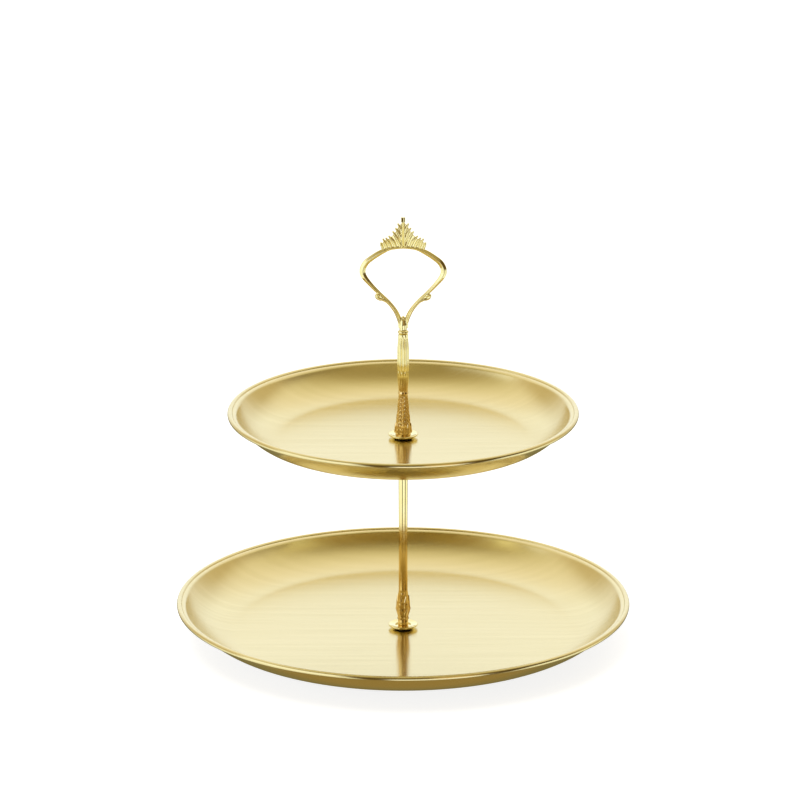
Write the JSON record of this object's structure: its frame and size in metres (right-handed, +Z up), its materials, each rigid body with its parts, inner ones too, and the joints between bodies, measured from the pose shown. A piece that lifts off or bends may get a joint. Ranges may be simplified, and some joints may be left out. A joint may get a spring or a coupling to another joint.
{
  "type": "tiered cake stand",
  "caption": "Round brushed metal dishes stacked on a central screwed post, with a crown-shaped carrying handle on top and pads underneath.",
  "frame": {"origin": "on the table, on the axis of the post, at the treads of the foot pads", "axes": "+Z up along the post, +X along the width of the crown, the crown's front faces -Y"},
  "size_m": [0.26, 0.26, 0.25],
  "materials": {
    "satin_gold_steel": "satin",
    "polished_gold": "polished",
    "plated_steel": "satin",
    "clear_gasket": "satin",
    "pad_silicone": "matte"
  },
  "bodies": {
    "base": {"lower_plate": "satin_gold_steel", "lower_gasket_above": "clear_gasket", "lower_gasket_below": "clear_gasket", "foot_pad_1": "pad_silicone", "foot_pad_2": "pad_silicone", "foot_pad_3": "pad_silicone", "foot_pad_4": "pad_silicone"},
    "post": {"connecting_rod": "polished_gold", "base_screw": "plated_steel", "base_washer": "plated_steel", "joining_stud": "plated_steel", "lower_cup_washer_above": "polished_gold", "upper_cup_washer_above": "polished_gold", "upper_cup_washer_below": "polished_gold"},
    "upper_tray": {"upper_plate": "satin_gold_steel", "upper_gasket_above": "clear_gasket", "upper_gasket_below": "clear_gasket"},
    "handle": {"handle_column": "polished_gold", "crown_stud": "plated_steel", "crown_handle": "polished_gold"}
  },
  "joints": [
    {"name": "post_turn", "type": "hinge", "parent": "base", "child": "post", "pos_m": [0, 0, 0.0046], "axis": [0, 0, 1], "continuous": true},
    {"name": "upper_plate_turn", "type": "hinge", "parent": "post", "child": "upper_tray", "pos_m": [0, 0, 0.1196], "axis": [0, 0, 1], "continuous": true},
    {"name": "handle_turn", "type": "hinge", "parent": "post", "child": "handle", "pos_m": [0, 0, 0.121], "axis": [0, 0, 1], "continuous": true}
  ]
}
